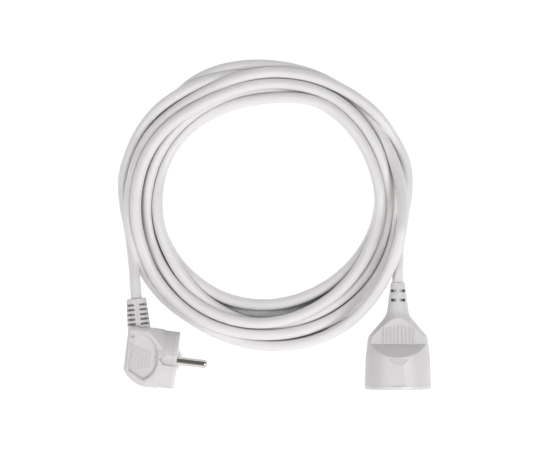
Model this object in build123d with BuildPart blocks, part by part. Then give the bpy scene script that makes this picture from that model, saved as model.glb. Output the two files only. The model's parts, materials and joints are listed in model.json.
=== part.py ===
"""Extension cord: a moulded earthed angle plug, three metres of round cable laid in a loose coil,
and a moulded in-line coupler with a sprung safety shutter.

Row frame: +Z up from the surface that the cord lies on, millimetres. The plug is modelled about the
centre of its face, pins along +X and cable side along +Y. The coupler is modelled about the centre of
its mouth, with its axis along +Y towards the cable. Both are then moved to where they lie.
"""
from build123d import *
import math
import os

os.makedirs("parts", exist_ok=True)

# ---- where the two ends lie -------------------------------------------------------------------
PLUG_AXIS_Z = 18.5           # the plug lies on its round collar
PLUG_TURN = -7.0             # pins point a little below +X
PLUG_PLACE = Location((-62.85, -15.6, PLUG_AXIS_Z), (0, 0, PLUG_TURN))
COUPLER_AXIS_Z = 21.0        # the coupler lies on its mouth ring
COUPLER_PLACE = Location((76.45, -33.6, COUPLER_AXIS_Z))

# ---- cable --------------------------------------------------------------------------------------
CABLE_R = 3.5
CABLE_BORE_R = 3.55         # bore of both bend reliefs
CORE_R = 1.3                 # insulated core
CORE_CIRCLE = 1.75           # the three cores lie about the cable's axis
JACKET_IN = 12.0             # how far the jacket reaches into each bend relief

# ---- plug -----------------------------------------------------------------------------------------
PIN_R, PIN_LENGTH, PIN_SPACING = 2.4, 19.0, 19.0
COLLAR_R = 18.5              # round front that enters a socket
COLLAR_DEPTH = 17.0
FACE_PLATE = 2.0             # rim of the pin carrier that shows as the plug's face
PLUG_DEPTH = 32.5
FLANK_Z = 17.4               # half height of the grip behind the collar
NOTCH_WIDTH, NOTCH_DEPTH, NOTCH_LENGTH = 6.6, 2.0, 8.0
CLIP_WIDTH, CLIP_SLOT, CLIP_T = 8.0, 9.0, 0.8
CLIP_Y = 16.1                # outer surface of a side earth clip
STRAP_BACK = -15.8           # rear face of the strap's cross bar
EARTH_Y = -10.0              # earth sleeve, on the side away from the cable
SLEEVE_R, SLEEVE_HOLE_R, SLEEVE_LENGTH = 3.1, 2.5, 14.0
BOOT_LEAN = 12.5             # the boot leans away from the face
BOOT_FOOT = (-26.2, 17.2)
BOOT_LENGTH = 19.1
BOOT_ROOT, BOOT_R0, BOOT_R1 = 6.0, 7.3, 6.2      # depth of its root in the grip, radii at its foot and end
BOOT_SLOTS, BOOT_PITCH, BOOT_SLOT = 5, 3.0, 1.3
CARRIER_Y, CARRIER_Z, CARRIER_DEPTH, CARRIER_CORNER = 28.0, 27.0, 14.0, 3.0
PIN_ROOT, SHANK_R = -13.0, 2.15
PIN_FLANGE_FROM, PIN_FLANGE_TO, PIN_FLANGE_R = -7.0, -5.5, 3.3
PIN_SEAT, PIN_SEAT_R = 0.9, 2.45                 # recess around each pin where it leaves the face
TIP_FROM, TIP_R, TIP_CURVE = 17.4, 0.9, 1.7      # rounded tip of a pin
CUP_LENGTH, CUP_OUTER, CUP_HOLE, CUP_DEPTH = 6.0, 1.95, CORE_R, 4.0
EARTH_CRIMP_FROM = -23.0
CUP_MOUTH = PIN_ROOT - CUP_LENGTH
CORE_BEND_X, EARTH_BEND_X = -24.6, -26.6
GRIP_FRONT = -9.5                                # the square grip has run out into the collar here
GRIP_SQUARE, GRIP_CORNER_R = -23.0, 26.0         # and is square up to here
SCOOP_FLOOR, SCOOP_TAPER = 15.6, 38
CARRIER_ROOM_BACK = -16.4
WIRING_BACK, WIRING_Y, WIRING_Z = -28.6, 23.0, 24.4      # room for the crimps and the cores

# ---- coupler --------------------------------------------------------------------------------------
COUPLER_LENGTH = 67.4        # along the axis, from the mouth to the relief's end
MOUTH_R = 21.0
RECESS_R, RECESS_DEPTH = 18.6, 17.5
CUP_R = 19.2
RIM = 2.5                    # width of the insert's rim that shows at the mouth
FLOOR_T = 2.0
HOLE_R = 2.7
THUMB_Z = 8.6                # half height between the two thumb flats
SHOULDER, NECK_FROM, NECK_TO, NECK_END_R = (19.0, 31.6), (11.2, 42.0), (6.7, 50.0), 4.4
NECK_SLOTS = (55.5, 61.35)   # two rows of relief slots, each with two windows above and two below
NECK_SLOT, NECK_WINDOW_X, NECK_WINDOW_WIDTH, NECK_WEB = 1.7, 2.75, 3.1, 2.0
SHUTTER_S, SHUTTER_T = 19.7, 2.3
SHUTTER_TRAVEL = 5.8
SHUTTER_TOP, SHUTTER_FOOT = 4.5, -9.6
CHAMBER_X, CHAMBER_Z = 14.2, 12.0
CONTACT_FROM, CONTACT_TO = 24.2, 37.0
CONTACT_R, CONTACT_HOLE_R = 2.95, 2.5
BAR_S = 24.3                 # front face of the earth cross bar
CRIMP_X, CRIMP_FROM, CRIMP_LENGTH, CRIMP_HOLE = 6.2, 38.0, 4.4, 3.4
CRIMP_MOUTH = CRIMP_FROM + CRIMP_LENGTH
BAR_BACK = BAR_S + 0.7
EARTH_BARREL_FROM, EARTH_BARREL_TO = BAR_BACK + 0.8, BAR_BACK + 9.8
CARRIER_FRONT, CARRIER_STEP, CARRIER_TO = SHUTTER_S + SHUTTER_T + 0.3, 24.2, 34.0
CARRIER_BACK_X, CARRIER_BACK_Z = 26.0, 11.0              # the narrower stretch behind the step
FLAT_FROM, FLAT_FULL, FLAT_TO = 19.9, 28.7, 46.5         # along the axis: the step, the thumb flat, its end
SPRING_R, WIRE_R, SPRING_TURNS = 0.85, 0.14, 8

# ---- cable route: hand-chosen points in the row frame, from each relief into the coil -------------
PLUG_LEAD = [
    (-87.44, 11.73, 18.5), (-89.16, 29.65, 18.5), (-90.5, 47.5, 9.8),
    (-93.0, 66.2, 4.8), (-96.8, 83.2, 3.5), (-97.7, 100.3, 3.5),
]
SOCKET_LEAD = [
    (76.45, 21.8, 21.0), (76.45, 39.8, 21.0), (77.0, 57.7, 12.4),
    (80.5, 75.5, 6.2), (83.4, 92.6, 3.6), (82.4, 109.8, 3.5),
]

# ---- coil -------------------------------------------------------------------------------------------
COIL_CENTRE = (-7.0, 81.7)
COIL_HEIGHT = 16.0
COIL_OUTER = (93.0, 94.8, 92.8, 92.8, 90.8, 90.0, 94.2, 94.8)    # every 45 degrees from +Y, clockwise
COIL_INNER = (66.6, 71.4, 68.0, 62.2, 59.6, 61.6, 65.6, 65.8)


def tube_path(points):
    """Straight runs joined by tangent arcs, each as large as its two runs allow."""
    vectors = [Vector(*p) for p in points]
    radii = []
    for before, corner, after in zip(vectors, vectors[1:], vectors[2:]):
        run_in, run_out = corner - before, after - corner
        turn = math.radians(run_in.get_angle(run_out))
        radii.append(0.45 * min(run_in.length, run_out.length) / math.tan(turn / 2))
    return vectors, radii


def polar_point(radius, degrees):
    """A point of the coil's outline, clockwise from +Y as seen from above."""
    angle = math.radians(degrees)
    return (COIL_CENTRE[0] + radius * math.sin(angle), COIL_CENTRE[1] + radius * math.cos(angle))


def write(piece, name, place=Location()):
    piece.part.label = name
    placed = piece.part.moved(place)
    placed.label = name
    export_step(placed, f"parts/{name}.step")


# ==== cable solids ===================================================================================
leads = {}
for lead_name, route in (("cord_plug_lead", PLUG_LEAD), ("cord_socket_lead", SOCKET_LEAD)):
    corners, corner_radii = tube_path(route)
    with BuildPart() as lead:
        with BuildLine() as lead_line:
            FilletPolyline(*corners, radius=corner_radii)
        with BuildSketch(Plane(lead_line.line @ 0, z_dir=lead_line.line % 0)):
            Circle(CABLE_R)
        sweep()
    section = math.pi * CABLE_R ** 2
    print(lead_name, "radii", [round(r, 1) for r in corner_radii],
          "volume", round(lead.part.volume), "expected", round(section * lead_line.wires()[0].length),
          "length", round(lead_line.wires()[0].length, 1))
    write(lead, lead_name)
    leads[lead_name] = lead.part

step = 360 / len(COIL_OUTER)
with BuildPart() as cord_coil:
    with BuildSketch():
        with BuildLine():
            Spline(*[polar_point(r, i * step) for i, r in enumerate(COIL_OUTER)], periodic=True)
        make_face()
        with BuildLine():
            Spline(*[polar_point(r, i * step) for i, r in enumerate(COIL_INNER)], periodic=True)
        make_face(mode=Mode.SUBTRACT)
    extrude(amount=COIL_HEIGHT)
    chamfer(cord_coil.edges().group_by(Axis.Z)[-1], length=4.0)
    for lead_part in leads.values():
        add(lead_part, mode=Mode.SUBTRACT)
write(cord_coil, "cord_coil")

# ==== plug ===========================================================================================
plug_axis = Plane(origin=(0, 0, 0), x_dir=(0, 1, 0), z_dir=(1, 0, 0))    # sketches: x is +Y, y is +Z
lean = math.radians(BOOT_LEAN)
boot_dir = Vector(-math.sin(lean), math.cos(lean), 0)
boot_plane = Plane(origin=(*BOOT_FOOT, 0), x_dir=(math.cos(lean), math.sin(lean), 0), z_dir=boot_dir)
jacket_end = Vector(*BOOT_FOOT, 0) + boot_dir * (BOOT_LENGTH - JACKET_IN)


with BuildPart() as plug_earth_strap:
    # two side clips and the cross bar behind the carrier, one bent strip
    with BuildSketch(Plane.XY.offset(-CLIP_WIDTH / 2)):
        with BuildLine():
            Polyline((-0.6, CLIP_Y), (STRAP_BACK, CLIP_Y), (STRAP_BACK, -CLIP_Y), (-0.6, -CLIP_Y),
                     (-0.6, CLIP_T - CLIP_Y), (STRAP_BACK + CLIP_T, CLIP_T - CLIP_Y),
                     (STRAP_BACK + CLIP_T, CLIP_Y - CLIP_T), (-0.6, CLIP_Y - CLIP_T), close=True)
        make_face()
    extrude(amount=CLIP_WIDTH)
    fillet(plug_earth_strap.edges().filter_by(Axis.Z).group_by(Axis.X)[0], radius=1.0)
write(plug_earth_strap, "plug_earth_strap", PLUG_PLACE)

with BuildPart() as plug_earth_sleeve:
    with BuildSketch(plug_axis.offset(STRAP_BACK + CLIP_T)):
        with Locations((EARTH_Y, 0)):
            Circle(SLEEVE_R)
            Circle(SLEEVE_HOLE_R, mode=Mode.SUBTRACT)
    extrude(amount=SLEEVE_LENGTH)
    # slit that lets the sleeve grip an earth pin
    with Locations((STRAP_BACK + CLIP_T + SLEEVE_LENGTH - 4, EARTH_Y - SLEEVE_R, 0)):
        Box(8.1, 2.0, 0.6, mode=Mode.SUBTRACT)
write(plug_earth_sleeve, "plug_earth_sleeve", PLUG_PLACE)

plug_pins = {}
for pin_name, side in (("plug_line_pin", 1), ("plug_neutral_pin", -1)):
    with BuildPart() as pin:
        with BuildSketch(Plane.XY) as profile:
            with BuildLine():
                Polyline((CUP_MOUTH, 0), (CUP_MOUTH, CUP_OUTER), (PIN_ROOT, CUP_OUTER), (PIN_ROOT, SHANK_R),
                         (PIN_FLANGE_FROM, SHANK_R), (PIN_FLANGE_FROM, PIN_FLANGE_R),
                         (PIN_FLANGE_TO, PIN_FLANGE_R), (PIN_FLANGE_TO, SHANK_R),
                         (0, SHANK_R), (0, PIN_R), (TIP_FROM, PIN_R))
                RadiusArc((TIP_FROM, PIN_R), (PIN_LENGTH, TIP_R), TIP_CURVE)
                Polyline((PIN_LENGTH, TIP_R), (PIN_LENGTH, 0), (CUP_MOUTH, 0))
            make_face()
        revolve(axis=Axis.X)
        with BuildSketch(plug_axis.offset(CUP_MOUTH)):
            Circle(CUP_HOLE)
        extrude(amount=CUP_DEPTH, mode=Mode.SUBTRACT)
    pin.part = pin.part.moved(Location((0, 0, side * PIN_SPACING / 2)))
    write(pin, pin_name, PLUG_PLACE)
    plug_pins[pin_name] = pin.part

with BuildPart() as plug_earth_crimp:
    with BuildSketch(plug_axis.offset(EARTH_CRIMP_FROM)):
        Circle(CUP_OUTER)
    extrude(amount=STRAP_BACK - EARTH_CRIMP_FROM)
    with BuildSketch(plug_axis.offset(STRAP_BACK)):
        Rectangle(6.0, 5.0)
    extrude(amount=-0.8)
    with BuildSketch(plug_axis.offset(EARTH_CRIMP_FROM)):
        Circle(CUP_HOLE)
    extrude(amount=CUP_DEPTH, mode=Mode.SUBTRACT)
write(plug_earth_crimp, "plug_earth_crimp", PLUG_PLACE)

core_ends = {
    "plug_line_core": (60, CUP_MOUTH, CORE_BEND_X, PIN_SPACING / 2),
    "plug_neutral_core": (-60, CUP_MOUTH, CORE_BEND_X, -PIN_SPACING / 2),
    "plug_earth_core": (180, EARTH_CRIMP_FROM, EARTH_BEND_X, 0),
}
for core_name, (around, cup, bend_x, core_z) in core_ends.items():
    corner, end = Vector(bend_x, 0, core_z), Vector(cup + CUP_DEPTH, 0, core_z)
    angle = math.radians(around)
    aside = boot_plane.x_dir * (CORE_CIRCLE * math.cos(angle)) + Vector(0, 0, CORE_CIRCLE * math.sin(angle))
    start = jacket_end + aside
    low = start - boot_dir * 11.0
    with BuildPart() as core:
        with BuildLine() as core_line:
            FilletPolyline(start, low, corner, end, radius=2.2)
        with BuildSketch(Plane(core_line.line @ 0, z_dir=core_line.line % 0)):
            Circle(CORE_R)
        sweep()
    write(core, core_name, PLUG_PLACE)


def collar_cutter(back):
    """The guide notches on the pins' line and the earth clip slots, shared by face plate and collar."""
    half = NOTCH_WIDTH / 2
    with BuildPart() as cutter:
        for notch_floor in (COLLAR_R - NOTCH_DEPTH, -COLLAR_R - 1):
            with BuildSketch(Plane.XY.offset(notch_floor)):
                with BuildLine():
                    Polyline((0.1, half), (-NOTCH_LENGTH, half), (-NOTCH_LENGTH - 2.8, 0),
                             (-NOTCH_LENGTH, -half), (0.1, -half), close=True)
                make_face()
            extrude(amount=NOTCH_DEPTH + 1)
        for side in (1, -1):
            with Locations((back / 2 + 0.1, side * (CLIP_Y + 2.0), 0)):
                Box(abs(back) + 0.2, 4.0, CLIP_SLOT)
    return cutter.part


with BuildPart() as plug_pin_carrier:
    with BuildSketch(plug_axis.offset(-FACE_PLATE)):
        Circle(COLLAR_R)
    extrude(amount=FACE_PLATE)
    chamfer(plug_pin_carrier.faces().sort_by(Axis.X)[-1].edges(), length=0.3)
    with BuildSketch(plug_axis.offset(-CARRIER_DEPTH)):
        RectangleRounded(CARRIER_Y, CARRIER_Z, CARRIER_CORNER)
    extrude(amount=CARRIER_DEPTH - FACE_PLATE)
    add(collar_cutter(-FACE_PLATE), mode=Mode.SUBTRACT)
    for metal in (plug_earth_sleeve.part, plug_earth_strap.part, *plug_pins.values()):
        add(metal, mode=Mode.SUBTRACT)
    with BuildSketch(plug_axis):
        with Locations((EARTH_Y, 0)):
            Circle(SLEEVE_HOLE_R + 0.2)
    extrude(amount=-CARRIER_DEPTH, mode=Mode.SUBTRACT)
    with BuildSketch(plug_axis):
        with Locations((0, PIN_SPACING / 2), (0, -PIN_SPACING / 2)):
            Circle(PIN_SEAT_R)
    extrude(amount=-PIN_SEAT, mode=Mode.SUBTRACT)
write(plug_pin_carrier, "plug_pin_carrier", PLUG_PLACE)

with BuildPart() as plug_body:
    # grip: outline in plan with the big lower corner, flat flanks
    with BuildSketch(Plane.XY.offset(-FLANK_Z)):
        with BuildLine():
            Polyline((GRIP_FRONT, COLLAR_R), (-PLUG_DEPTH, COLLAR_R), (-PLUG_DEPTH, -8.8))
            ThreePointArc((-PLUG_DEPTH, -8.8), (-26.4, -15.5), (-17.0, -COLLAR_R))
            Polyline((-17.0, -COLLAR_R), (GRIP_FRONT, -COLLAR_R), (GRIP_FRONT, COLLAR_R))
        make_face()
    extrude(amount=2 * FLANK_Z)
    fillet(plug_body.edges().filter_by(Axis.Z).filter_by_position(Axis.X, -34, -32), radius=2.5)
    flank_edges = plug_body.faces().filter_by(Axis.Z).edges()
    fillet(flank_edges.filter_by_position(Axis.X, -34, GRIP_FRONT - 0.01), radius=3.2)
    # its square section runs out into the round collar
    with BuildSketch(Plane.XY):
        with BuildLine():
            Polyline((GRIP_FRONT + 1, COLLAR_R), (GRIP_FRONT, COLLAR_R), (GRIP_SQUARE, GRIP_CORNER_R),
                     (GRIP_FRONT + 1, GRIP_CORNER_R), close=True)
        make_face()
    revolve(axis=Axis.X, mode=Mode.SUBTRACT)
    # round collar
    with BuildSketch(plug_axis.offset(-COLLAR_DEPTH)):
        Circle(COLLAR_R)
    extrude(amount=COLLAR_DEPTH - FACE_PLATE)
    # scooped finger grip on both flanks, its front edge curved
    for side in (1, -1):
        with BuildSketch(Plane.XY.offset(side * SCOOP_FLOOR)):
            with BuildLine():
                ThreePointArc((-23.4, 13.4), (-16.4, 9.6), (-13.9, 0.5))
                ThreePointArc((-13.9, 0.5), (-14.9, -8.6), (-19.6, -12.9))
                Polyline((-19.6, -12.9), (-28.6, -8.4), (-28.6, 8.6), (-23.4, 13.4))
            make_face()
        extrude(amount=side * 6, taper=-SCOOP_TAPER, mode=Mode.SUBTRACT)
        # low lengthwise ribs in the grip
        for rib in range(6):
            with Locations((-27.4 + 2.1 * rib, -1.0, side * SCOOP_FLOOR)):
                Box(0.8, 15.0 - rib, 0.5)
        with Locations((-29.2, 12.6, side * FLANK_Z)):
            Sphere(1.2, mode=Mode.SUBTRACT)
    # bend relief
    with BuildSketch(boot_plane.offset(-BOOT_ROOT)):
        Circle(BOOT_R0 - 1.6)
    with BuildSketch(boot_plane):
        Circle(BOOT_R0)
    with BuildSketch(boot_plane.offset(BOOT_LENGTH)):
        Circle(BOOT_R1)
    loft(ruled=True)
    for row in range(BOOT_SLOTS):
        with BuildSketch(boot_plane.offset(2.4 + row * BOOT_PITCH)):
            Circle(BOOT_R0 + 1)
            Circle(CABLE_R + 0.8, mode=Mode.SUBTRACT)
            Rectangle(3.4, 20, mode=Mode.SUBTRACT)
            Rectangle(20, 1.4, mode=Mode.SUBTRACT)
        extrude(amount=BOOT_SLOT, mode=Mode.SUBTRACT)
    fillet(plug_body.faces().sort_by(Axis.Y)[-1].edges(), radius=0.8)
    add(collar_cutter(STRAP_BACK), mode=Mode.SUBTRACT)
    # room for the carrier, the strap, the crimps and the cores
    with BuildSketch(plug_axis.offset(CARRIER_ROOM_BACK)):
        RectangleRounded(CARRIER_Y, CARRIER_Z, CARRIER_CORNER)
    extrude(amount=-CARRIER_ROOM_BACK - FACE_PLATE + 0.1, mode=Mode.SUBTRACT)
    with BuildSketch(plug_axis.offset(WIRING_BACK)):
        with Locations((2.0, 0)):
            RectangleRounded(WIRING_Y, WIRING_Z, CARRIER_CORNER)
    extrude(amount=CARRIER_ROOM_BACK + 2.5 - WIRING_BACK, mode=Mode.SUBTRACT)
    with BuildSketch(boot_plane.offset(BOOT_LENGTH - JACKET_IN)):
        Circle(CORE_CIRCLE + CORE_R + 0.3)
    extrude(amount=-20, mode=Mode.SUBTRACT)
    with BuildSketch(boot_plane.offset(BOOT_LENGTH - JACKET_IN)):
        Circle(CABLE_BORE_R)
    extrude(amount=JACKET_IN + 1, mode=Mode.SUBTRACT)
    add(plug_earth_strap.part, mode=Mode.SUBTRACT)
write(plug_body, "plug_body", PLUG_PLACE)

# ==== coupler ========================================================================================
mouth_plane = Plane(origin=(0, 0, 0), x_dir=(1, 0, 0), z_dir=(0, 1, 0))  # sketches: x is +X, y is -Z


def contact_points():
    return [(-PIN_SPACING / 2, 0), (PIN_SPACING / 2, 0)]


def strip(points, width, thickness):
    """A bent strip in the YZ plane: one box per straight stretch, centred on X."""
    with BuildPart() as bent:
        for (s0, z0), (s1, z1) in zip(points, points[1:]):
            with Locations((0, (s0 + s1) / 2, (z0 + z1) / 2)):
                Box(width, abs(s1 - s0) + thickness, abs(z1 - z0) + thickness)
    return bent.part


with BuildPart() as coupler_earth_strap:
    for side in (1, -1):
        add(strip([(3.2, side * 17.6), (6.0, side * 17.6), (6.0, side * 16.9), (13.5, side * 16.9),
                   (13.5, side * 17.6), (20.1, side * 17.6), (20.1, side * 13.2),
                   (BAR_S + 0.35, side * 13.2), (BAR_S + 0.35, 0)], CLIP_WIDTH, 0.7))
write(coupler_earth_strap, "coupler_earth_strap", COUPLER_PLACE)

with BuildPart() as coupler_insert:
    with BuildSketch(mouth_plane):
        Circle(MOUTH_R)
    extrude(amount=RIM)
    fillet(coupler_insert.faces().sort_by(Axis.Y)[0].edges(), radius=1.0)
    with BuildSketch(mouth_plane.offset(RIM)):
        Circle(CUP_R)
    extrude(amount=RECESS_DEPTH + FLOOR_T - RIM)
    with BuildSketch(mouth_plane):
        Circle(RECESS_R)
    extrude(amount=RECESS_DEPTH, mode=Mode.SUBTRACT)
    chamfer(coupler_insert.faces().sort_by(Axis.Y)[0].edges().filter_by(GeomType.CIRCLE).sort_by(
        SortBy.RADIUS)[0], length=0.5)
    # guide ribs on the pins' line
    for side in (1, -1):
        with Locations((side * (RECESS_R - 0.6), RECESS_DEPTH / 2 + 1.0, 0)):
            Box(1.8, RECESS_DEPTH - 2.0, 5.0)
    with BuildSketch(mouth_plane.offset(RECESS_DEPTH)):
        with Locations(*contact_points()):
            Circle(HOLE_R)
    extrude(amount=FLOOR_T, mode=Mode.SUBTRACT)
    # windows for the side earth clips
    for side in (1, -1):
        with Locations((0, 11.4, side * 17.6)):
            Box(CLIP_SLOT, 17.0, 2.4, mode=Mode.SUBTRACT)
write(coupler_insert, "coupler_insert", COUPLER_PLACE)

with BuildPart() as coupler_shutter:
    with Locations((0, SHUTTER_S + SHUTTER_T / 2, (SHUTTER_TOP + SHUTTER_FOOT) / 2)):
        Box(2 * CHAMBER_X - 0.6, SHUTTER_T, SHUTTER_TOP - SHUTTER_FOOT)
    with BuildSketch(mouth_plane.offset(SHUTTER_S)):
        with Locations(*[(x, SHUTTER_TRAVEL) for x, _ in contact_points()]):
            Circle(HOLE_R + 0.15)
    extrude(amount=SHUTTER_T, mode=Mode.SUBTRACT)
    # sloping lands that the pins push on, above the two windows
    for x, _ in contact_points():
        with BuildSketch(Plane.YZ.offset(x - 2.0)):
            with BuildLine():
                Polyline((SHUTTER_S - 0.1, 2.0), (SHUTTER_S - 0.1, -2.6), (SHUTTER_S + 1.5, -2.6), close=True)
            make_face()
        extrude(amount=4.0, mode=Mode.SUBTRACT)
    # seat of the spring
    with Locations((0, SHUTTER_S + SHUTTER_T / 2, SHUTTER_TOP + 0.6)):
        Cylinder(radius=0.55, height=1.2)
write(coupler_shutter, "coupler_shutter", COUPLER_PLACE)

with BuildPart() as coupler_shutter_spring:
    spring_foot, spring_head = SHUTTER_TOP + WIRE_R, CHAMBER_Z - WIRE_R
    pitch = (spring_head - spring_foot) / SPRING_TURNS
    with BuildLine() as coil_line:
        Helix(pitch=pitch, height=spring_head - spring_foot, radius=SPRING_R,
              center=(0, SHUTTER_S + SHUTTER_T / 2, spring_foot))
    with BuildSketch(Plane(coil_line.line @ 0, z_dir=coil_line.line % 0)):
        Circle(WIRE_R)
    sweep(is_frenet=True)
write(coupler_shutter_spring, "coupler_shutter_spring", COUPLER_PLACE)

for contact_name, side in (("coupler_line_contact", 1), ("coupler_neutral_contact", -1)):
    with BuildPart() as contact:
        with BuildSketch(mouth_plane.offset(CONTACT_FROM)):
            with Locations((side * PIN_SPACING / 2, 0)):
                Circle(CONTACT_R)
                Circle(CONTACT_HOLE_R, mode=Mode.SUBTRACT)
        extrude(amount=CONTACT_TO - CONTACT_FROM)
        # grip slits
        with Locations((side * PIN_SPACING / 2, CONTACT_FROM + 5, 0)):
            Box(0.7, 10.02, 2 * CONTACT_R + 1, mode=Mode.SUBTRACT)
        # tail plate and crimp barrel
        with Locations((side * (PIN_SPACING / 2 + CRIMP_X) / 2, CONTACT_TO + 0.5, 0)):
            Box(PIN_SPACING / 2 - CRIMP_X + 4.0, 1.0, 4.0)
        with BuildSketch(mouth_plane.offset(CRIMP_FROM)):
            with Locations((side * CRIMP_X, 0)):
                Circle(CUP_OUTER)
        extrude(amount=CRIMP_LENGTH)
        with BuildSketch(mouth_plane.offset(CRIMP_MOUTH)):
            with Locations((side * CRIMP_X, 0)):
                Circle(CUP_HOLE)
        extrude(amount=-CRIMP_HOLE, mode=Mode.SUBTRACT)
    write(contact, contact_name, COUPLER_PLACE)

with BuildPart() as coupler_earth_crimp:
    with Locations((0, BAR_BACK + 0.4, 0)):
        Box(6.0, 0.8, 5.0)
    with BuildSketch(mouth_plane.offset(EARTH_BARREL_FROM)):
        Circle(CUP_OUTER)
    extrude(amount=EARTH_BARREL_TO - EARTH_BARREL_FROM)
    with BuildSketch(mouth_plane.offset(EARTH_BARREL_TO)):
        Circle(CUP_HOLE)
    extrude(amount=-CUP_DEPTH, mode=Mode.SUBTRACT)
write(coupler_earth_crimp, "coupler_earth_crimp", COUPLER_PLACE)

with BuildPart() as coupler_contact_carrier:
    with Locations((0, (CARRIER_FRONT + CARRIER_STEP) / 2, 0)):
        Box(2 * CHAMBER_X, CARRIER_STEP - CARRIER_FRONT, 2 * CHAMBER_Z)
    with Locations((0, (CARRIER_STEP + CARRIER_TO) / 2, 0)):
        Box(CARRIER_BACK_X, CARRIER_TO - CARRIER_STEP, CARRIER_BACK_Z)
    with BuildSketch(mouth_plane.offset(CARRIER_FRONT)):
        with Locations(*contact_points()):
            Circle(HOLE_R + 0.1)
    extrude(amount=CARRIER_STEP - CARRIER_FRONT, mode=Mode.SUBTRACT)
    with BuildSketch(mouth_plane.offset(CONTACT_FROM)):
        with Locations(*contact_points()):
            Circle(CONTACT_R)
    extrude(amount=CARRIER_TO - CONTACT_FROM, mode=Mode.SUBTRACT)
    # slot for the earth bar and its crimp
    with Locations((0, BAR_S + 0.35, 0)):
        Box(CLIP_WIDTH + 0.2, 0.9, 30, mode=Mode.SUBTRACT)
    with Locations((0, 30, 0)):
        Box(6.4, 11.0, 5.4, mode=Mode.SUBTRACT)
write(coupler_contact_carrier, "coupler_contact_carrier", COUPLER_PLACE)

coupler_jacket = COUPLER_LENGTH - JACKET_IN
coupler_core_ends = {
    "coupler_line_core": (-30, Vector(CRIMP_X, CRIMP_MOUTH - CRIMP_HOLE, 0), 43.6),
    "coupler_neutral_core": (210, Vector(-CRIMP_X, CRIMP_MOUTH - CRIMP_HOLE, 0), 43.6),
    "coupler_earth_core": (90, Vector(0, EARTH_BARREL_TO - CUP_DEPTH, 0), 42.0),
}
coupler_cores = {}
for core_name, (around, end, bend_s) in coupler_core_ends.items():
    angle = math.radians(around)
    aside = Vector(CORE_CIRCLE * math.cos(angle), 0, CORE_CIRCLE * math.sin(angle))
    start = Vector(0, coupler_jacket, 0) + aside
    with BuildPart() as core:
        with BuildLine() as core_line:
            FilletPolyline(start, start - Vector(0, 6.0, 0), Vector(end.X, bend_s, end.Z), end, radius=2.0)
        with BuildSketch(Plane(core_line.line @ 0, z_dir=core_line.line % 0)):
            Circle(CORE_R)
        sweep()
    write(core, core_name, COUPLER_PLACE)
    coupler_cores[core_name] = core.part

with BuildPart() as coupler_body:
    with BuildSketch(Plane.XY):
        with BuildLine():
            Polyline((0, RIM), (MOUTH_R, RIM), (20.35, 20.5), SHOULDER, (18.3, 33.8), NECK_FROM)
            Spline(NECK_FROM, (8.1, 46.0), NECK_TO, tangents=((-0.67, 0.74), (-0.13, 1)))
            Polyline(NECK_TO, (NECK_END_R, COUPLER_LENGTH), (0, COUPLER_LENGTH), (0, RIM))
        make_face()
    revolve(axis=Axis.Y)
    # thumb flats above and below, with the steep shaded step in front of each
    for side in (1, -1):
        with BuildSketch(Plane.YZ.offset(-25)):
            with BuildLine():
                Polyline((FLAT_FROM, side * 21.2), (FLAT_FULL, side * THUMB_Z), (FLAT_TO, side * THUMB_Z),
                         (FLAT_TO, side * 26), (FLAT_FROM, side * 26), close=True)
            make_face()
        extrude(amount=50, mode=Mode.SUBTRACT)
        for rib in range(-4, 5):
            reach = 11.0 - 0.42 * abs(rib)
            with Locations((rib * 2.4, 29.3 + reach / 2, side * (THUMB_Z - 0.1))):
                Box(0.7, reach, 0.9)
        # shallow channel along the collar, over the earth clip, deeper where it starts
        with Locations((0, RIM + 7.6, side * (MOUTH_R - 0.6 + 2))):
            Box(12.4, 15.4, 4.0, mode=Mode.SUBTRACT)
        with BuildSketch(Plane.YZ.offset(-6.2)):
            with BuildLine():
                Polyline((15.6, side * 20.4), (19.6, side * 19.3), (19.6, side * 23), (15.6, side * 23),
                         close=True)
            make_face()
        extrude(amount=12.4, mode=Mode.SUBTRACT)
    for slot_s in NECK_SLOTS:
        with BuildSketch(mouth_plane.offset(slot_s)):
            with Locations((NECK_WINDOW_X, 0), (-NECK_WINDOW_X, 0)):
                Rectangle(NECK_WINDOW_WIDTH, 14)
            Rectangle(14, NECK_WEB, mode=Mode.SUBTRACT)
        extrude(amount=NECK_SLOT, mode=Mode.SUBTRACT)
    fillet(coupler_body.faces().sort_by(Axis.Y)[-1].edges(), radius=0.4)
    # the insert's seat, the shutter chamber, the carrier's seat and the room behind it
    with BuildSketch(mouth_plane.offset(RIM)):
        Circle(CUP_R)
    extrude(amount=RECESS_DEPTH + FLOOR_T - RIM, mode=Mode.SUBTRACT)
    chamber_from = RECESS_DEPTH + FLOOR_T
    with Locations((0, (chamber_from + CARRIER_STEP) / 2, 0)):
        Box(2 * CHAMBER_X, CARRIER_STEP - chamber_from, 2 * CHAMBER_Z, mode=Mode.SUBTRACT)
    with Locations((0, (CARRIER_STEP + CARRIER_TO) / 2, 0)):
        Box(CARRIER_BACK_X, CARRIER_TO - CARRIER_STEP, CARRIER_BACK_Z, mode=Mode.SUBTRACT)
    with BuildSketch(Plane.XY.offset(-4.5)):
        with BuildLine():
            Polyline((-13, CARRIER_TO), (-12.9, 37.4), (-8.0, 42.8), (8.0, 42.8), (12.9, 37.4),
                     (13, CARRIER_TO), close=True)
        make_face()
    extrude(amount=9.0, mode=Mode.SUBTRACT)
    for core_part in coupler_cores.values():
        add(core_part, mode=Mode.SUBTRACT)
    with BuildSketch(mouth_plane.offset(coupler_jacket)):
        Circle(CABLE_BORE_R)
    extrude(amount=JACKET_IN + 1, mode=Mode.SUBTRACT)
    add(coupler_earth_strap.part, mode=Mode.SUBTRACT)
write(coupler_body, "coupler_body", COUPLER_PLACE)

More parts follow.
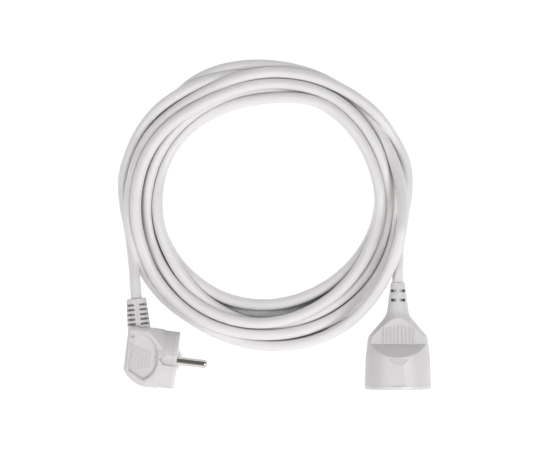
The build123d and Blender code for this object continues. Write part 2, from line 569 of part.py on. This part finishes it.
plug_world = plug_body.part.moved(PLUG_PLACE).bounding_box()
pin_world = plug_pins["plug_line_pin"].moved(PLUG_PLACE).bounding_box()
coupler_world = coupler_body.part.moved(COUPLER_PLACE).bounding_box()
insert_world = coupler_insert.part.moved(COUPLER_PLACE).bounding_box()
print("plug", plug_world, "pin", pin_world)
print("coupler", coupler_world, "insert", insert_world)
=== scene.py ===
"""Looks of the extension cord: one cable from plug to coupler in a loose coil, seen from straight above."""
import bpy
import json
import math
import numpy as np
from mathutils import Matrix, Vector


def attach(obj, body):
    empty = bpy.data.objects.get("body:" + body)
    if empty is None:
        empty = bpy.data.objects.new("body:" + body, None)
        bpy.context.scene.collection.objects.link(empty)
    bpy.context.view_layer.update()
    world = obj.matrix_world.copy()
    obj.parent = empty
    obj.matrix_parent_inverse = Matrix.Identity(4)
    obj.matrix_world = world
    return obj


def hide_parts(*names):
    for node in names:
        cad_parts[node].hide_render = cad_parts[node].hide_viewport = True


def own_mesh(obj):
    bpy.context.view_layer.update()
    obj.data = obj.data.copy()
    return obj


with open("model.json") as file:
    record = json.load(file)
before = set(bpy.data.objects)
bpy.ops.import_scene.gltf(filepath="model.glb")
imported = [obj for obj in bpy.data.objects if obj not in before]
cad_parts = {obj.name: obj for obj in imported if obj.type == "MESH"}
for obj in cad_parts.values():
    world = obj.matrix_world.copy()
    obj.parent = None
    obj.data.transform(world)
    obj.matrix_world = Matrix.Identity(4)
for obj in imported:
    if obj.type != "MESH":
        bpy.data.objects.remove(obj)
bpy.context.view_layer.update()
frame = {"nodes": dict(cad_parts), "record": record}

MM = 0.001                                      # Blender's metres in a millimetre
CABLE_D = 7.0                                   # mm

# ==== camera =========================================================================================
VIEW_HEIGHT, VIEW_CENTRE = 3.0, (-0.0010, 0.0700)           # m, looking straight down
SENSOR, LENS = 36.0, 309.2                      # mm, which show 349 mm of the surface from side to side

camera_data = bpy.data.cameras.new("camera")
camera_data.sensor_width = SENSOR
camera_data.lens = LENS
camera_data.clip_start, camera_data.clip_end = 0.05, 20.0
camera = bpy.data.objects.new("camera", camera_data)
camera.location = (*VIEW_CENTRE, VIEW_HEIGHT)
bpy.context.scene.collection.objects.link(camera)
bpy.context.scene.camera = camera

# ==== cord ===========================================================================================
# The two leads' points in metres, from inside each bend relief to the coil, as in the CAD.
PLUG_LEAD = [
    (-0.08744, 0.01173, 0.0185), (-0.08916, 0.02965, 0.0185), (-0.0905, 0.0475, 0.0098),
    (-0.0930, 0.0662, 0.0048), (-0.0968, 0.0832, 0.0035), (-0.0977, 0.1003, 0.0035),
]
SOCKET_LEAD = [
    (0.07645, 0.0218, 0.0210), (0.07645, 0.0398, 0.0210), (0.0770, 0.0577, 0.0124),
    (0.0805, 0.0755, 0.0062), (0.0834, 0.0926, 0.0036), (0.0824, 0.1098, 0.0035),
]

COIL_CENTRE = np.array([-7.0, 81.7])            # mm
# Each turn runs clockwise from the plug's side: its radius in mm every 30 degrees, to the nearest half
# millimetre, and how many cables deep it lies on the others there.
TURNS = [
    ((90, 93, 89, 84, 80.5, 79.5, 82.5, 84, 83, 81.5, 83, 83),
     (0, 0, 0.9, 0.2, 0, 0, 0.2, 0, 0, 0, 1, 1.8)),
    ((82.5, 81.5, 76.5, 78, 81, 80, 77, 77, 75.5, 75, 71, 68),
     (1.9, 1.2, 1.1, 1, 1, 1, 0.2, 0, 0, 0, 0, 0.9)),
    ((69, 70, 68.5, 68.5, 75, 73.5, 73, 71, 71.5, 74, 75.5, 76),
     (1, 0.2, 0, 0, 1, 1, 0.3, 0.8, 0.9, 1, 0.8, 0.2)),
    ((75.5, 75.5, 74, 74.5, 75, 74, 73, 67, 63, 62.5, 64, 66.5),
     (0.8, 0.7, 0.1, 0, 0, 0, 0, 0, 0, 0, 0, 0)),
    ((71, 84, 91.5, 89.5, 89, 86.5, 87, 88, 91, 88.5, 85.5, 87.5),
     (0, 0, 0, 0, 0, 0.2, 1.2, 0.8, 0, 0, 0, 1.5)),
    ((86.5, 86.5, 82, 85, 88.5, 92, 89.5),
     (1, 0.8, 0.5, 1.2, 1, 0.2, 0)),
]
# Angles are in degrees travelled clockwise, from straight above the coil's centre.
FIRST_STATION, STATION = 270.0, 30.0            # where the first turn's values start, and their spacing
COIL_FROM, COIL_TO = 292.0, 2223.0              # where the coil takes over from the leads
FINE = 2.5                                      # between the points that settle
KEEP = 4                                        # every 4th of them is a point of the spline
MOST_LEVELS = 3                                 # that a strand lies above the surface

# How the turns settle. Lengths are in mm, and the shares are of a distance, in each step.
STEPS, LIST_EVERY = 900, 20                     # steps in all, and between new lists of near points
APART, NEAR = 1.01 * CABLE_D, 2.2 * CABLE_D     # distance to keep, and to look for neighbours within
OWN_POINTS, END_POINTS = 7, 3                   # not neighbours: along a strand, and where a lead joins it
SINK = 0.05                                     # of every point
FLATTEN, FLATTEN_REACHES = 0.15, (2, 6)         # share, and how many points away on each side
HOLD = 0.20                                     # share, back to its place in plan
PUSH = (0.12, 0.12, 0.45)                       # shares along X, Y and Z
LEAST_DISTANCE = 0.5                            # that a push is divided by

# The arch of the last turn but one over the coupler's lead
CROSSING = (1865.0, 1950.0)                     # from and to
ARCH_GAP = 1.1 * CABLE_D                        # between the two cables' middles
ARCH_REACH = 18                                 # settled points on each side that rise with it


def smooth_between(rows, at):
    """Cubic interpolation through evenly spaced values."""
    base = np.clip(np.floor(at).astype(int), 1, len(rows) - 3)
    t = at - base
    before, here, after, beyond = (rows[base + k] for k in (-1, 0, 1, 2))
    return here + 0.5 * t * (after - before + t * (2 * before - 5 * here + 4 * after - beyond
                                                    + t * (3 * (here - after) + beyond - before)))


def nurbs_curve(name, points, resolution):
    """A curve of one open NURBS spline of order 3 with these control points, in metres."""
    data = bpy.data.curves.new(name, "CURVE")
    data.dimensions = "3D"
    data.resolution_u = resolution
    spline = data.splines.new("NURBS")
    spline.points.add(len(points) - 1)
    for point, place in zip(spline.points, points):
        point.co = (*place, 1.0)
        point.radius = CABLE_D / 2 * MM
    spline.order_u = 3
    spline.use_endpoint_u = True
    return data


def nurbs_line(points):
    """The points in mm along the middle of the spline that has these control points."""
    data = nurbs_curve("line", points, resolution=8)
    holder = bpy.data.objects.new("line", data)
    mesh = bpy.data.meshes.new_from_object(holder)
    line = np.array([tuple(v.co) for v in mesh.vertices]) / MM
    bpy.data.objects.remove(holder)
    bpy.data.curves.remove(data)
    bpy.data.meshes.remove(mesh)
    return line


def coil_points():
    """The coil's turns as points in mm, before they settle."""
    radius = np.array([r for radii, _ in TURNS for r in radii])
    level = np.array([v for _, levels in TURNS for v in levels])
    angle = np.arange(COIL_FROM, COIL_TO, FINE)
    at = (angle - FIRST_STATION) / STATION
    r, z = smooth_between(radius, at), smooth_between(level, at)
    turn = np.radians(angle)
    return np.column_stack([COIL_CENTRE[0] + r * np.sin(turn), COIL_CENTRE[1] + r * np.cos(turn),
                            CABLE_D * (0.5 + np.clip(z, 0, MOST_LEVELS))])


def near_pairs(everything, count):
    """Pairs of a coil point and another point near it, of another strand or of a lead."""
    gap = everything[:count, None, :] - everything[None, :, :]
    one, other = np.nonzero((gap ** 2).sum(2) < NEAR ** 2)
    of_lead = (other >= count) & (one >= END_POINTS) & (one < count - END_POINTS)
    of_strand = (other < count) & (abs(one - other) > OWN_POINTS)
    return one[of_lead | of_strand], other[of_lead | of_strand]


def settle(points, leads):
    """Lets the turns come to rest on the surface and on each other, held near their places in plan."""
    home = points[:, :2].copy()
    count = len(points)
    everything = np.vstack([points, leads])
    p = everything[:count]
    for step in range(STEPS):
        if step % LIST_EVERY == 0:
            one, other = near_pairs(everything, count)
        p[:, 2] -= SINK
        for reach in FLATTEN_REACHES:
            middle = 0.5 * (p[:-2 * reach] + p[2 * reach:])
            p[reach:-reach, 2] += FLATTEN * (middle[:, 2] - p[reach:-reach, 2])
        p[:, :2] += HOLD * (home - p[:, :2])
        gap = everything[one] - everything[other]
        distance = np.sqrt((gap ** 2).sum(1))
        push = np.maximum(APART - distance, 0.0) / np.maximum(distance, LEAST_DISTANCE)
        move = np.zeros_like(p)
        np.add.at(move, one, push[:, None] * gap * PUSH)
        touches = np.bincount(one, weights=push > 0, minlength=count)
        p += move / np.sqrt(np.maximum(touches, 1))[:, None]
        p[:, 2] = np.maximum(p[:, 2], CABLE_D / 2)
    return p


def arch_over(points, line):
    """Raises the points along the crossing into one smooth arch that clears the line."""
    first, last = (int((travelled - COIL_FROM) / FINE) for travelled in CROSSING)
    flat = np.sqrt(((points[:, None, :2] - line[None, :, :2]) ** 2).sum(2))
    clear = line[None, :, 2] + np.sqrt(np.maximum(ARCH_GAP ** 2 - flat ** 2, 0.0))
    needed = np.where(flat < ARCH_GAP, clear, 0.0).max(1)
    lift = np.zeros(len(points))
    lift[first:last] = np.maximum(needed - points[:, 2], 0.0)[first:last]
    steps = np.arange(-ARCH_REACH, ARCH_REACH + 1)
    share = np.cos(steps / ARCH_REACH * math.pi / 2) ** 2
    padded = np.pad(lift, ARCH_REACH)
    points[:, 2] += [(padded[i:i + len(steps)] * share).max() for i in range(len(points))]


plug_line, socket_line = nurbs_line(PLUG_LEAD), nurbs_line(SOCKET_LEAD)
settled = settle(coil_points(), np.vstack([plug_line, socket_line]))
arch_over(settled, socket_line)
coil = [tuple(p * MM) for p in settled[::KEEP]]

cord_data = nurbs_curve("cord", PLUG_LEAD + coil + SOCKET_LEAD[::-1], resolution=6)
cord_data.bevel_depth = 1.0                     # times each point's radius, which is the cable's
cord_data.bevel_resolution = 7
cord_data.use_fill_caps = True
cord = bpy.data.objects.new("cord", cord_data)
bpy.context.scene.collection.objects.link(cord)
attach(cord, "cord_set")
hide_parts("cord_plug_lead", "cord_socket_lead", "cord_coil")

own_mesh(frame["nodes"]["coupler_shutter_spring"])

# ==== materials ======================================================================================
# Lengths are in metres, noise scales in cycles per metre, and colours are linear red, green and blue.
RINGS = 380                                     # of the jacket's texture, along the whole cord
SLOT_REACH, CORNER_REACH, TURN_REACH = 0.0025, 0.001, 0.003     # how far the painted shade in slots, corners and between turns spreads
MOULDING_EDGE = 0.0005                          # radius


class Nodes:
    """A material's node tree, with short calls for the nodes that these materials share."""

    def __init__(self, name):
        self.material = bpy.data.materials.new(name)
        self.material.use_nodes = True
        self.tree = self.material.node_tree
        self.shader = self.tree.nodes["Principled BSDF"]
        self.place = self.tree.nodes.new("ShaderNodeTexCoord")

    def add(self, kind, **settings):
        node = self.tree.nodes.new("ShaderNode" + kind)
        for key, value in settings.items():
            setattr(node, key, value)
        return node

    def link(self, output, target):
        self.tree.links.new(output, target)

    def set(self, **values):
        for name, value in values.items():
            self.shader.inputs[name.replace("_", " ")].default_value = value

    def noise(self, scale, detail=3.0, stretch=(1, 1, 1)):
        mapping = self.add("Mapping")
        mapping.inputs["Scale"].default_value = stretch
        self.link(self.place.outputs["Object"], mapping.inputs["Vector"])
        node = self.add("TexNoise")
        node.inputs["Scale"].default_value = scale
        node.inputs["Detail"].default_value = detail
        self.link(mapping.outputs["Vector"], node.inputs["Vector"])
        return node.outputs["Fac"]

    def bands(self, output, stretch, distortion):
        """Evenly spaced soft bands along the first axis of a texture space."""
        mapping = self.add("Mapping")
        mapping.inputs["Scale"].default_value = stretch
        self.link(self.place.outputs[output], mapping.inputs["Vector"])
        node = self.add("TexWave")
        node.inputs["Scale"].default_value = 1.0
        node.inputs["Distortion"].default_value = distortion
        self.link(mapping.outputs["Vector"], node.inputs["Vector"])
        return node.outputs["Fac"]

    def range(self, factor, start, end, low, high):
        """Maps start..end of a factor to low..high."""
        node = self.add("MapRange")
        for name, value in (("From Min", start), ("From Max", end), ("To Min", low), ("To Max", high)):
            node.inputs[name].default_value = value
        self.link(factor, node.inputs["Value"])
        return node.outputs["Result"]

    def gloss(self, factor, low, high):
        """Spreads the middle of a noise over a range of roughness."""
        self.link(self.range(factor, 0.3, 0.7, low, high), self.shader.inputs["Roughness"])

    def mix(self, factor, dark, light):
        """A colour between two, each a colour or another node's output."""
        node = self.add("Mix", data_type="RGBA")
        colours = [socket for socket in node.inputs if socket.type == "RGBA"]
        for socket, colour in zip(colours, (dark, light)):
            if isinstance(colour, tuple):
                socket.default_value = (*colour, 1.0)
            else:
                self.link(colour, socket)
        self.link(factor, node.inputs["Factor"])
        return next(output for output in node.outputs if output.type == "RGBA")

    def crevice_shade(self, reach, colour, shade_colour, start=0.1, end=0.5):
        """Darkens a colour in slots and corners, where little light comes: painted shade."""
        shade = self.add("AmbientOcclusion", samples=8)
        shade.inputs["Distance"].default_value = reach
        return self.mix(self.range(shade.outputs["AO"], start, end, 0.0, 1.0), shade_colour, colour)

    def paint(self, colour):
        self.link(colour, self.shader.inputs["Base Color"])

    def soft_edges(self, radius):
        """Shades edges as if they were rounded."""
        node = self.add("Bevel", samples=4)
        node.inputs["Radius"].default_value = radius
        self.link(node.outputs["Normal"], self.shader.inputs["Normal"])

    def bump(self, height, strength, distance):
        node = self.add("Bump")
        node.inputs["Strength"].default_value = strength
        node.inputs["Distance"].default_value = distance
        self.link(height, node.inputs["Height"])
        if self.shader.inputs["Normal"].is_linked:
            self.link(self.shader.inputs["Normal"].links[0].from_socket, node.inputs["Normal"])
        self.link(node.outputs["Normal"], self.shader.inputs["Normal"])


def moulded(name, dark, light, roughness, grain, depth):
    """Moulded plastic: cloudy tint, painted shade in the slots, spark-eroded grain, uneven gloss, soft
    edges.
    """
    m = Nodes(name)
    cloudy = m.mix(m.noise(45, detail=4), dark, light)
    # painted shade: the colour darkens to a tenth of the dark tone deep in slots and corners
    m.paint(m.crevice_shade(SLOT_REACH, cloudy, tuple(0.10 * value for value in dark)))
    m.gloss(m.noise(160), roughness - 0.06, roughness + 0.06)
    m.soft_edges(MOULDING_EDGE)
    m.bump(m.noise(grain, detail=2), strength=0.5, distance=depth)
    m.set(IOR=1.46)
    return m.material


def insulation(name, dark, light, stripe=None):
    """Smooth PVC of an insulated core, with a stripe along it on the earth core."""
    m = Nodes(name)
    colour = m.mix(m.noise(200), dark, light)
    if stripe:
        side = m.range(m.bands("Object", (0, 0, 180), 0.0), 0.48, 0.52, 0.0, 1.0)
        colour = m.mix(side, colour, stripe)
    m.paint(colour)
    m.gloss(m.noise(400), 0.32, 0.44)
    m.bump(m.noise(1800, detail=2), strength=0.3, distance=0.00002)
    return m.material


def plated(name, dark, light, roughness, along):
    """Plated or bare metal with fine drawing lines along one direction, with painted shade in its corners.
    """
    m = Nodes(name)
    m.set(Metallic=1.0)
    cloudy = m.mix(m.noise(300), dark, light)
    # painted shade: darker in the corners, down to 0.4 of the dark tone
    m.paint(m.crevice_shade(CORNER_REACH, cloudy, tuple(0.4 * value for value in dark)))
    lines = m.noise(900, detail=2, stretch=along)
    m.gloss(lines, roughness - 0.04, roughness + 0.08)
    m.bump(lines, strength=0.15, distance=0.00002)
    return m.material


def jacket():
    """Cable jacket: satin, with fine rings from the extruder, faint scuffs and painted shade where turns
    touch.
    """
    m = Nodes("jacket")
    cloudy = m.mix(m.noise(60, detail=4), (0.70, 0.685, 0.685), (0.78, 0.765, 0.76))
    # painted shade: the jacket turns grey where turns touch and little light reaches
    m.paint(m.crevice_shade(TURN_REACH, cloudy, (0.36, 0.35, 0.35), start=0.05))
    m.gloss(m.noise(220), 0.28, 0.42)
    m.bump(m.bands("UV", (RINGS, 0, 0), 0.4), strength=0.25, distance=0.00004)
    m.bump(m.noise(1400), strength=0.25, distance=0.00004)
    m.set(IOR=1.47)
    return m.material


MATERIALS = {
    "white_pvc_moulding": moulded("pvc_moulding", (0.60, 0.58, 0.585), (0.67, 0.65, 0.655),
                                  roughness=0.42, grain=1500, depth=0.00004),
    "white_hard_plastic": moulded("hard_plastic", (0.66, 0.645, 0.64), (0.72, 0.705, 0.70),
                                  roughness=0.30, grain=1200, depth=0.00002),
    "shutter_plastic": moulded("shutter", (0.60, 0.59, 0.58), (0.66, 0.65, 0.64),
                               roughness=0.35, grain=1200, depth=0.00002),
    "nickel_pins": plated("nickel_pins", (0.60, 0.58, 0.54), (0.70, 0.68, 0.64),
                          roughness=0.09, along=(1, 12, 12)),
    "nickel_strip": plated("nickel_strip", (0.50, 0.49, 0.47), (0.62, 0.60, 0.58),
                           roughness=0.28, along=(1, 1, 10)),
    "brass_contacts": plated("brass", (0.70, 0.50, 0.22), (0.80, 0.60, 0.30),
                             roughness=0.25, along=(10, 1, 10)),
    "spring_steel": plated("spring_steel", (0.35, 0.35, 0.36), (0.48, 0.48, 0.49),
                           roughness=0.25, along=(1, 1, 10)),
    "core_brown": insulation("core_brown", (0.09, 0.035, 0.018), (0.13, 0.05, 0.025)),
    "core_blue": insulation("core_blue", (0.02, 0.10, 0.36), (0.03, 0.14, 0.45)),
    "core_green_yellow": insulation("core_green", (0.04, 0.26, 0.05), (0.06, 0.32, 0.07),
                                    stripe=(0.75, 0.62, 0.04)),
    "cable_jacket": jacket(),
}

for row in frame["record"]["subparts"]:
    piece = frame["nodes"][row["node"]]
    piece.data.materials.clear()
    piece.data.materials.append(MATERIALS[row["material_slot"]])
cord_data.materials.append(MATERIALS["cable_jacket"])

# ==== surface and light ==============================================================================
WHITE = (1.0, 1.0, 1.0, 1.0)
FLOOR_HALF = 3.0                                # m
FLOOR_GREY = 0.2
# Painted light and shade: the floor glows white where it is open, and its glow is held back in the gaps
# between strands, which stay dark.
GLOW, GLOW_REACH, DARK_UNTIL, OPEN_FROM = 0.95, 0.012, 0.40, 0.5
SKY_FRONT, SKY_BEHIND = 0.60, 0.17              # brightness
SOFTBOXES = {                                   # place and size in m, and watts
    "right": ((0.9, -0.1, 1.3), (0.7, 1.0), 14.0),
    "left": ((-0.9, 0.0, 1.3), (0.7, 1.0), 9.5),
    "front": ((0.0, -1.1, 0.55), (1.8, 0.30), 2.6),
}


def make_floor():
    """A pale surface, which isn't part of the object, with a painted glow that is dark in the gaps between
    strands.
    """
    mesh = bpy.data.meshes.new("floor")
    corners = [(x * FLOOR_HALF, y * FLOOR_HALF, 0) for x, y in ((-1, -1), (1, -1), (1, 1), (-1, 1))]
    mesh.from_pydata(corners, [], [(0, 1, 2, 3)])
    floor = bpy.data.objects.new("floor", mesh)
    bpy.context.scene.collection.objects.link(floor)
    look = Nodes("floor")
    look.set(Base_Color=(FLOOR_GREY, FLOOR_GREY, FLOOR_GREY, 1.0), Roughness=0.9, Emission_Color=WHITE)
    # painted shade: the glow fades where nearby things close off the open space above the floor
    shade = look.add("AmbientOcclusion")
    shade.inputs["Distance"].default_value = GLOW_REACH
    glow = look.range(shade.outputs["AO"], DARK_UNTIL, OPEN_FROM, 0.0, GLOW)
    look.link(glow, look.shader.inputs["Emission Strength"])
    mesh.materials.append(look.material)


def make_world():
    """A room that is white in front and dark above and behind, which bright metal reflects as two bands."""
    world = bpy.data.worlds.new("studio")
    world.use_nodes = True
    sky = world.node_tree
    towards = sky.nodes.new("ShaderNodeTexCoord")
    behind = sky.nodes.new("ShaderNodeVectorMath")
    behind.operation = "DOT_PRODUCT"
    behind.inputs[1].default_value = (0.0, 1.0, 0.5)
    fade = sky.nodes.new("ShaderNodeMapRange")
    for socket, value in (("From Min", -0.3), ("From Max", 0.3),
                          ("To Min", SKY_FRONT), ("To Max", SKY_BEHIND)):
        fade.inputs[socket].default_value = value
    sky.links.new(towards.outputs["Generated"], behind.inputs[0])
    sky.links.new(behind.outputs["Value"], fade.inputs["Value"])
    sky.links.new(fade.outputs["Result"], sky.nodes["Background"].inputs["Strength"])
    sky.nodes["Background"].inputs["Color"].default_value = WHITE
    bpy.context.scene.world = world


def softbox(name, place, size, watts):
    """A rectangular light that points at the middle of the picture."""
    light = bpy.data.lights.new(name, "AREA")
    light.shape = "RECTANGLE"
    light.size, light.size_y = size
    light.energy = watts
    lamp = bpy.data.objects.new(name, light)
    lamp.location = place
    lamp.rotation_euler = (Vector((*VIEW_CENTRE, 0.0)) - Vector(place)).to_track_quat("-Z", "Y").to_euler()
    bpy.context.scene.collection.objects.link(lamp)


bpy.context.scene.view_settings.view_transform = "Standard"
make_floor()
make_world()
for name, (place, size, watts) in SOFTBOXES.items():
    softbox(name, place, size, watts)
